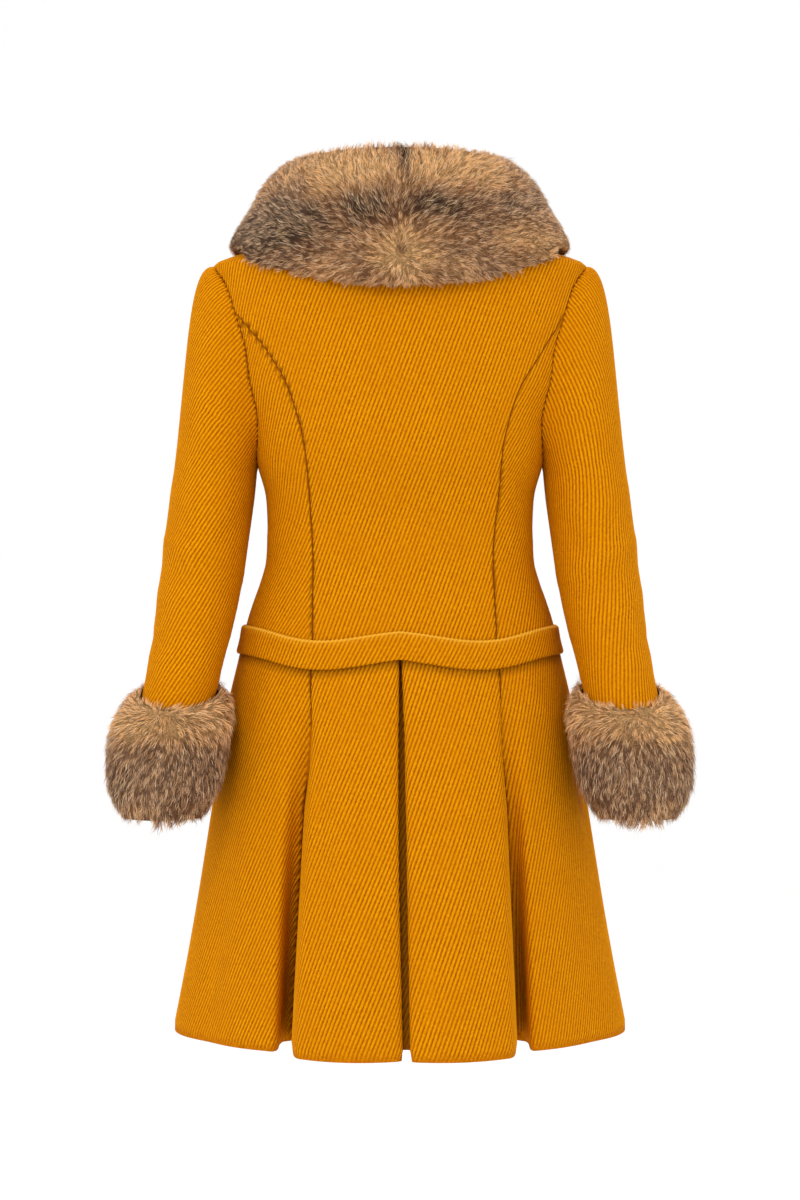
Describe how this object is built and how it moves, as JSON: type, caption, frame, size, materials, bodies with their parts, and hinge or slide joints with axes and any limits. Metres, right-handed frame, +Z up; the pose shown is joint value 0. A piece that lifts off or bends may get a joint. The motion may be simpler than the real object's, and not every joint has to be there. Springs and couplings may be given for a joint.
{
  "type": "corduroy coat",
  "caption": "Fitted flared coat of wide-ribbed mustard cloth with a fur collar, fur cuffs and a pleated back skirt, hollow as if worn.",
  "frame": {"origin": "centre of the neck opening, level with the points where the shoulder seams meet the neck", "axes": "+Z up, the coat's front faces -Y, its back +Y and the wearer's left is +X"},
  "size_m": [0.6118, 0.4095, 0.917],
  "materials": {
    "cloth": "matte ribbed pile",
    "fur": "long soft fur",
    "button": "satin"
  },
  "bodies": {
    "root": {"back_centre": "cloth", "back_side_left": "cloth", "back_side_right": "cloth", "front_left": "cloth", "front_right": "cloth", "front_side_left": "cloth", "front_side_right": "cloth", "skirt_back_left": "cloth", "skirt_back_right": "cloth", "skirt_side_left": "cloth", "skirt_side_right": "cloth", "skirt_front_left": "cloth", "skirt_front_right": "cloth", "skirt_pleat_underlay": "cloth", "belt": "cloth", "sleeve_left": "cloth", "sleeve_right": "cloth", "collar": "fur", "cuff_left": "fur", "cuff_right": "fur", "button_1": "button", "button_2": "button", "button_3": "button", "button_4": "button"}
  },
  "joints": []
}
